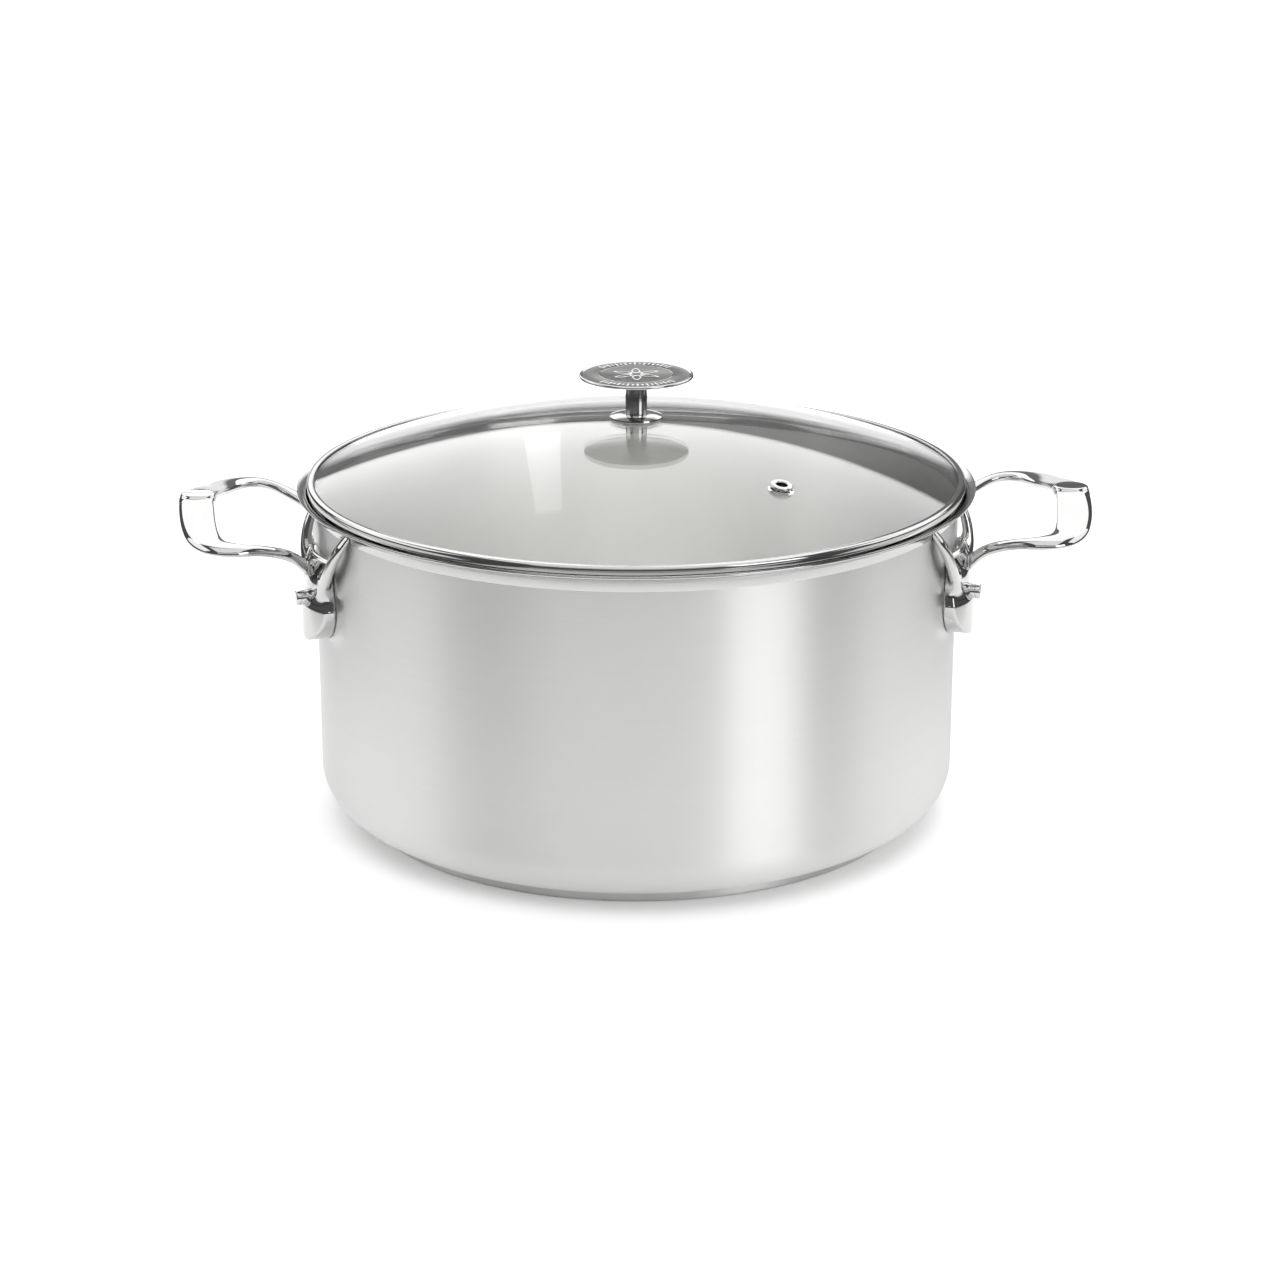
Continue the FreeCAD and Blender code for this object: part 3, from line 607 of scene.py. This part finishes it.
def surface_net(values, origin, step):
    """Naive surface nets: vertices and quads where the grid of values changes sign."""
    inside = values < 0
    corners = []
    for dx in (0, 1):
        for dy in (0, 1):
            for dz in (0, 1):
                part = tuple(slice(d, n - 1 + d) for d, n in zip((dx, dy, dz), values.shape))
                corners.append(((dx, dy, dz), part))
    count = sum(inside[part].astype(np.int8) for _, part in corners)
    active = (count > 0) & (count < 8)
    cells = np.argwhere(active)
    number = np.full(active.shape, -1, int)
    number[tuple(cells.T)] = np.arange(len(cells))
    total = np.zeros((len(cells), 3))
    hits = np.zeros(len(cells))
    for a, _ in corners:
        for axis in range(3):
            if a[axis]:
                continue
            b = list(a)
            b[axis] = 1
            va = values[tuple((cells + a).T)]
            vb = values[tuple((cells + b).T)]
            cross = (va < 0) != (vb < 0)
            t = np.where(cross, va / np.where(va == vb, 1, va - vb), 0)
            spot = cells + np.array(a, float)
            spot[:, axis] += t
            total[cross] += spot[cross]
            hits[cross] += 1
    verts = total / hits[:, None] * step + origin
    quads = []
    for axis in range(3):
        one, two = [d for d in range(3) if d != axis]
        first = tuple(slice(None, -1) if d == axis else slice(1, -1) for d in range(3))
        second = tuple(slice(1, None) if d == axis else slice(1, -1) for d in range(3))
        change = inside[first] != inside[second]
        spots = np.argwhere(change)
        spots[:, one] += 1
        spots[:, two] += 1
        rising = inside[tuple(spots.T)]
        ring = []
        for da, db in ((1, 1), (0, 1), (0, 0), (1, 0)):
            cell = spots.copy()
            cell[:, one] -= da
            cell[:, two] -= db
            ring.append(number[tuple(cell.T)])
        ring = np.stack(ring, -1)
        flip = rising if axis != 1 else ~rising
        ring[~flip] = ring[~flip][:, ::-1]
        quads.append(ring)
    return verts, np.concatenate(quads)


def mesh_handle():
    """Vertices and quads of the right-hand casting's rear half, which reaches one cell past y = 0."""
    handle = Handle()
    low = np.array([119.0, -76.5, 89.0])
    high = np.array([202.5, 76.5, 147.5])
    counts = np.ceil((high - low) / VOXEL).astype(int) + 1
    xs, ys, zs = [low[i] + VOXEL * np.arange(counts[i]) for i in range(3)]
    ys = ys[ys >= -VOXEL]
    gx, gy = np.meshgrid(xs, ys, indexing="ij")
    facts = handle.strap_facts(gx.ravel(), np.abs(gy).ravel())
    facts = [f.reshape(gx.shape)[..., None] for f in facts]
    grid = np.stack(np.meshgrid(xs, ys, zs, indexing="ij"), -1)
    far = 3     # beyond this only the sign of a distance counts
    values = np.clip(handle.field(grid, facts), -far, far)
    verts, quads = surface_net(values, np.array([xs[0], ys[0], zs[0]]), VOXEL)
    longest = 0.4
    for _ in range(4):
        slope = gradient(handle, verts)
        steepness = np.maximum((slope**2).sum(1), 0.2)
        move = np.clip(handle.field(verts) / steepness, -longest, longest)
        verts = verts - move[:, None] * slope
    return verts, quads


def gradient(handle, points, step=0.04):
    """Slope of the field at points."""
    parts = []
    for axis in range(3):
        shift = np.zeros(3)
        shift[axis] = step
        parts.append((handle.field(points + shift) - handle.field(points - shift)) / (2 * step))
    return np.stack(parts, -1)


def make_handles(mats):
    """Both castings, each made of the rear half and its mirror image."""
    verts, quads = mesh_handle()
    keep = (verts[quads][:, :, 1] >= -1e-6).all(1) | (np.abs(verts[quads][:, :, 1]).min(1) < VOXEL)
    quads = quads[keep]
    verts[verts[:, 1] < 0, 1] = 0.0
    for name, across in (("right", 1.0), ("left", -1.0)):
        points = []
        faces = []
        for along in (1.0, -1.0):
            start = len(points)
            points += [(across * x, along * y, z) for x, y, z in verts]
            order = quads if across * along > 0 else quads[:, ::-1]
            faces += (order + start).tolist()
        piece = make_object(f"handle_{name}_casting", points, faces, [mats["casting"]], 80.0)
        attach(piece, "pot")
        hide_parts(f"handle_{name}")


# ---------------------------------------------------------------- lid

def dome(distance, depth=0.0):
    """Height of the glass at a distance from the axis; depth is measured inwards from its upper face."""
    return DOME_MIDDLE + math.sqrt((DOME_RADIUS - depth) ** 2 - distance**2)


def make_glass(mats):
    """The domed pane, with one hole for the knob and one for the vent."""
    top = [(r, dome(r)) for r in np.linspace(142.6, GLASS_HOLE, 56)]
    bottom = [(r, dome(r, GLASS)) for r in np.linspace(GLASS_HOLE, 141.3, 56)]
    edge = [(GLASS_EDGE, 149.0), (GLASS_EDGE, dome(GLASS_EDGE) - 0.4)]
    glass = lathe("lid_glass_dome", bottom + edge + top, [mats["glass"]])
    point, normal = vent_place()
    cutter = lathe("vent_cutter", [(0, -8), (CUTTER_RADIUS, -8), (CUTTER_RADIUS, 8), (0, 8)], [], 64)
    place_piece(cutter, point, normal)
    drill = glass.modifiers.new("vent_hole", "BOOLEAN")
    drill.object = cutter
    drill.operation = "DIFFERENCE"
    drill.solver = "EXACT"
    graph = bpy.context.evaluated_depsgraph_get()
    drilled = bpy.data.meshes.new_from_object(glass.evaluated_get(graph))
    glass.modifiers.clear()
    glass.data = drilled
    bpy.data.objects.remove(cutter)
    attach(glass, "lid")
    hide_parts("lid_glass")


def vent_place():
    """Where the vent's axis meets the glass, and which way it points."""
    azimuth = math.radians(VENT_AZIMUTH)
    x = VENT_DISTANCE * math.cos(azimuth)
    y = VENT_DISTANCE * math.sin(azimuth)
    point = Vector((x, y, dome(VENT_DISTANCE)))
    return point, (point - Vector((0, 0, DOME_MIDDLE))).normalized()


def make_band(mats):
    """The steel band rolled round the edge of the glass, with its skirt inside the rim."""
    outline = [(140.8, 151.6), (142.5, 151.6)] + arc(142.5, 150.75, 0.85, 90, 0, 6) + [(143.35, 149.15)]
    outline += arc(142.7, 149.15, 0.65, 0, -52.7, 5) + [(141.174, 147.17)]
    outline += arc(142.05, 146.02, 1.45, 127.3, 180, 6) + [(140.6, 145.0), (141.15, 145.0)]
    outline += arc(142.05, 146.02, 0.9, 180, 127.3, 6) + [(143.427, 148.196)]
    outline += arc(142.7, 149.15, 1.2, -52.7, 0, 6) + arc(142.5, 150.75, 1.4, 0, 90, 10)
    outline += arc(140.95, 152.0, 0.15, 90, 180, 3)
    band = lathe("lid_band_rolled", outline, [mats["band"]], TURN + 64)
    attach(band, "lid")
    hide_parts("lid_rim_band")


def make_vent(mats):
    """The clinched eyelet; its outline is drawn about the vent's own axis."""
    outline = [(2.35, -5.1), (3.7, -5.1), (3.7, -4.6), (2.95, -4.6), (2.95, 0.5), (4.75, 0.5)]
    outline += arc(4.2, 0.65, 0.65, -10, 90, 8) + arc(3.0, 0.65, 0.65, 90, 180, 8)
    eyelet = lathe("vent_eyelet_turned", outline, [mats["bright"]], 96)
    point, normal = vent_place()
    place_piece(eyelet, point, normal)
    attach(eyelet, "lid")
    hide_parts("vent_eyelet")


def make_knob(mats):
    """The flat round knob, its pillar and the collar under it."""
    disc = [(0, 195.0), (3.05, 195.0), (3.05, 193.4), (6.2, 193.4)] + arc(6.2, 193.7, 0.3, -90, -4, 4)
    disc += [(24.3, 194.95)] + arc(24.33, 195.67, 0.67, -80, 90, 12)
    disc += [(23.7, 196.3), (23.35, KNOB_FACE), (16.4, KNOB_FACE), (16.25, KNOB_RIDGE)]
    disc += [(15.75, KNOB_RIDGE), (15.6, KNOB_FACE), (0, KNOB_FACE)]

    def pick(r, z):
        """0 the polished rim, sides and ring, 1 the satin face."""
        return 1 if r < 23.5 and z > 196.0 and not 15.7 < r < 16.3 else 0

    piece = lathe("knob_disc_turned", disc, [mats["bright"], mats["knob"]], 160, pick)
    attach(piece, "lid")
    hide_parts("knob_disc")
    make_relief(mats)
    stem = [
        (0, 189), (2.5, 189), (2.5, 178.9), (4.45, 178.9), (4.75, 179.2), (4.75, 193.1), (4.45, 193.4),
        (3.0, 193.4), (3.0, 194.9), (0, 194.9),
    ]
    pillar = lathe("knob_pillar", stem, [mats["bright"]], 96)
    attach(pillar, "lid")
    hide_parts("knob_stem")
    collar = [(2.7, 177.75), (9.8, 177.75), (10.7, 176.75)]
    collar += arc(11.4, 177.05, 0.3, -90, 30, 5) + arc(5.6, 162.9, 16.0, 68.0, 90, 8) + [(2.7, 178.9)]
    ring = lathe("knob_collar_turned", collar, [mats["bright"]], 128)
    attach(ring, "lid")
    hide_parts("knob_collar")


def bar_box(cx, cy, angle, length, width, low, high):
    """Corners and faces of one raised bar on the knob, pointing along angle."""
    along = np.array((math.cos(angle), math.sin(angle)))
    side = np.array((-along[1], along[0]))
    base = [np.array((cx, cy)) + along * length * a + side * width * b
            for a, b in ((-0.5, -0.5), (0.5, -0.5), (0.5, 0.5), (-0.5, 0.5))]
    taper = 0.015
    verts = [(*p, low) for p in base]
    verts += [(*(p * (1 - taper) + np.array((cx, cy)) * taper), high) for p in base]
    faces = [(0, 1, 2, 3), (4, 5, 6, 7), (0, 1, 5, 4), (1, 2, 6, 5), (2, 3, 7, 6), (3, 0, 4, 7)]
    return verts, faces


def make_relief(mats):
    """The knob's plain ornament: a ring of raised ticks and a six-petalled rosette."""
    verts = []
    faces = []

    def add(part):
        """Joins one part's corners and faces to the rest."""
        start = len(verts)
        verts.extend(part[0])
        faces.extend([tuple(i + start for i in face) for face in part[1]])

    low = KNOB_FACE - 0.07
    for step in range(KNOB_TICKS):
        angle = 2 * math.pi * step / KNOB_TICKS
        if abs(math.sin(angle)) < 0.62:
            continue
        length = 3.6 if step % 2 else 2.2
        middle = (19.9 * math.cos(angle), 19.9 * math.sin(angle))
        add(bar_box(*middle, angle, length, 0.9, low, 196.24))
    for petal in range(KNOB_PETALS):
        turn = math.pi / 3 * petal + math.pi / 6
        cosine, sine = math.cos(turn), math.sin(turn)
        outline = []
        for step in range(PETAL_POINTS):
            t = step / PETAL_POINTS * 2 * math.pi
            outline.append((4.6 * math.cos(t), 1.9 * math.sin(t) * (1 - 0.35 * math.cos(t))))
        ring = []
        for scale in (1.0, 0.72):
            for u, v in outline:
                u = PETAL_MIDDLE + u * scale
                v = v * scale
                ring.append((u * cosine - v * sine, u * sine + v * cosine))
        part = [(x, y, low) for x, y in ring] + [(x, y, KNOB_RIDGE) for x, y in ring]
        sides = []
        for i in range(PETAL_POINTS):
            j = (i + 1) % PETAL_POINTS
            corners = [[level * PETAL_POINTS + k for k in (i, j)] for level in range(4)]
            for one, other in ((0, 2), (1, 3), (2, 3), (0, 1)):
                sides.append((*corners[one], *reversed(corners[other])))
        add((part, sides))
    piece = make_object("knob_relief", verts, faces, [mats["relief"]], 30.0)
    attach(piece, "lid")


# ---------------------------------------------------------------- stage

def area_light(name, place, target, size, brightness, roll=0.0, mirrored=True):
    """A rectangular lamp of (width, height) metres facing target, turned by roll about its own axis."""
    data = bpy.data.lights.new(name, "AREA")
    data.shape = "RECTANGLE"
    data.size, data.size_y = size
    data.energy = brightness * size[0] * size[1] * math.pi
    lamp = bpy.data.objects.new(name, data)
    bpy.context.scene.collection.objects.link(lamp)
    aim = (Vector(target) - Vector(place)).to_track_quat("-Z", "Y").to_matrix().to_4x4()
    stand = VIEW_TURN @ Matrix.Translation(Vector(place))
    lamp.matrix_world = stand @ aim @ Matrix.Rotation(roll, 4, "Z")
    lamp.visible_glossy = mirrored


def spread(tree, x, y):
    """The length of (x, y), as a node output."""
    squares = [math_node(tree, "MULTIPLY", along, along) for along in (x, y)]
    return math_node(tree, "SQRT", math_node(tree, "ADD", *squares))


def make_floor():
    """A white table top. The camera sees it run on for ever; in reflections it ends a little way out,
    except straight behind, where it runs up to a bright back wall."""
    half = 9000
    corners = [(-half, -half, 0), (half, -half, 0), (half, half, 0), (-half, half, 0)]
    floor = make_object("floor", corners, [(0, 1, 2, 3)], [])
    floor.location.z = -0.0002
    material, tree, shader = new_material("floor_paper", Roughness=0.9, Specular_IOR_Level=0.1)
    shader.inputs["Emission Color"].default_value = (1, 1, 1, 1)
    split = add_node(tree, "ShaderNodeSeparateXYZ")
    tree.links.new(add_node(tree, "ShaderNodeTexCoord").outputs["Object"], split.inputs[0])
    x, y = split.outputs[0], split.outputs[1]
    seen = add_node(tree, "ShaderNodeLightPath").outputs["Is Camera Ray"]
    unseen = math_node(tree, "SUBTRACT", 1.0, seen)
    table = spread(tree, math_node(tree, "MULTIPLY", x, 1.35), math_node(tree, "MINIMUM", y, 0.0))
    paper = ramp(tree, table, [(0.56, 0.86), (0.80, 0.06)])
    white = math_node(tree, "MAXIMUM", paper, math_node(tree, "MULTIPLY", seen, 0.86))
    tree.links.new(white, shader.inputs["Base Color"])
    far = ramp(tree, math_node(tree, "MULTIPLY", spread(tree, x, y), 0.25), [(0.08, 0.22), (0.5, 1.0)])
    ahead = math_node(tree, "MAXIMUM", y, 0.01)
    aside = math_node(tree, "DIVIDE", math_node(tree, "ABSOLUTE", x), ahead)
    back = ramp(tree, math_node(tree, "MULTIPLY", y, 0.25), [(0.10, 0.0), (0.5, 0.95)])
    behind = math_node(tree, "MULTIPLY", back, ramp(tree, aside, [(0.28, 1.0), (0.42, 0.0)]))
    far_seen = math_node(tree, "MULTIPLY", far, seen)
    glow = math_node(tree, "ADD", far_seen, math_node(tree, "MULTIPLY", behind, unseen))
    tree.links.new(glow, shader.inputs["Emission Strength"])
    floor.data.materials.append(material)


def make_world():
    """White behind the object; in reflections a dark room with a low bright wall at the back."""
    world = bpy.data.worlds.new("studio")
    bpy.context.scene.world = world
    world.use_nodes = True
    tree = world.node_tree
    room = tree.nodes["Background"]
    split = add_node(tree, "ShaderNodeSeparateXYZ")
    tree.links.new(add_node(tree, "ShaderNodeTexCoord").outputs["Generated"], split.inputs[0])
    wall = ramp(tree, split.outputs[1], [(0.90, 0.0), (0.955, 1.0)])
    low = ramp(tree, split.outputs[2], [(0.055, 0.90), (0.125, 0.10)])
    light = math_node(tree, "ADD", math_node(tree, "MULTIPLY", wall, low), 0.10)
    tree.links.new(light, room.inputs[0])
    pale = add_node(tree, "ShaderNodeBackground")
    pale.inputs[0].default_value = (1, 1, 1, 1)
    mix = add_node(tree, "ShaderNodeMixShader")
    tree.links.new(add_node(tree, "ShaderNodeLightPath").outputs["Is Camera Ray"], mix.inputs[0])
    tree.links.new(room.outputs[0], mix.inputs[1])
    tree.links.new(pale.outputs[0], mix.inputs[2])
    tree.links.new(mix.outputs[0], tree.nodes["World Output"].inputs[0])


def make_stage():
    """Floor, room and lamps; metal does not mirror back_fill and top_fill."""
    make_floor()
    make_world()
    area_light("back_softbox", (0.0, 1.9, 1.95), (0, 0, 0.15), (4.2, 2.5), 1.45, math.radians(-18))
    area_light("back_fill", (0.0, 1.89, 1.94), (0, 0, 0.15), (4.2, 2.5), 0.6, math.radians(-18), False)
    area_light("back_strip", (-0.315, 2.19, 1.545), (0, 0, 0.15), (0.11, 1.2), 0.5, math.radians(-8))
    area_light("top_softbox", (0.0, -0.8, 2.5), (0, -0.4, 0), (3.4, 3.0), 1.0)
    area_light("top_fill", (0.0, -0.8, 2.49), (0, -0.4, 0), (3.4, 3.0), 1.0, 0.0, False)
    area_light("fill_left", (-2.2, 0.3, 1.25), (0, 0, 0.1), (2.4, 1.5), 1.3)
    area_light("fill_right", (2.2, 0.7, 1.25), (0, 0, 0.1), (2.2, 1.5), 1.3)
    area_light("front_fill", (0.0, -2.6, 1.5), (0, 0, 0.1), (3.8, 1.0), 0.6)
    area_light("key_right", (1.99, -2.01, 0.95), (0, 0, 0.08), (1.3, 1.7), 2.15)


def make_camera():
    """The camera in front of the pot, a little above its rim."""
    camera = bpy.data.cameras.new("camera")
    camera.sensor_width = 36.0
    camera.lens = 87.2
    camera.shift_x = 0.0029
    eye = bpy.data.objects.new("camera", camera)
    bpy.context.scene.collection.objects.link(eye)
    tilt = Matrix.Rotation(math.radians(90 - CAMERA_DIP), 4, "X")
    eye.matrix_world = VIEW_TURN @ Matrix.Translation(CAMERA_PLACE) @ tilt
    bpy.context.scene.camera = eye


def finish_nodes(frame, mats):
    """Gives the CAD nodes that still show their materials."""
    chosen = {
        "base_core": "core",
        "vent_gasket": "silicone",
        "vent_washer": "bright",
        "knob_upper_gasket": "silicone",
        "knob_lower_gasket": "silicone",
        "knob_lower_washer": "bright",
        "knob_spring_washer": "screw",
        "knob_screw": "screw",
    }
    for name, key in chosen.items():
        node = frame["nodes"][name]
        for slot in node.material_slots:
            slot.material = mats[key]


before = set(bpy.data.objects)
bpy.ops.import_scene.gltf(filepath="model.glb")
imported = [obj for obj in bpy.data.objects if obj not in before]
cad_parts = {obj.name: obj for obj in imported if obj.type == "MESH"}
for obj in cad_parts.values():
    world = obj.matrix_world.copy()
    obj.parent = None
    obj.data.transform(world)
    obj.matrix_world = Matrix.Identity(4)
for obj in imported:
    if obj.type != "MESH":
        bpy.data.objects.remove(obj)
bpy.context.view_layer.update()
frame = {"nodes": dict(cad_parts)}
scene = bpy.context.scene
scene.view_settings.view_transform = "Standard"
scene.view_settings.look = "None"
materials = make_materials()
make_stage()
make_camera()
make_pot(materials)
make_base(materials)
make_rivets(materials)
make_handles(materials)
make_glass(materials)
make_band(materials)
make_vent(materials)
make_knob(materials)
finish_nodes(frame, materials)
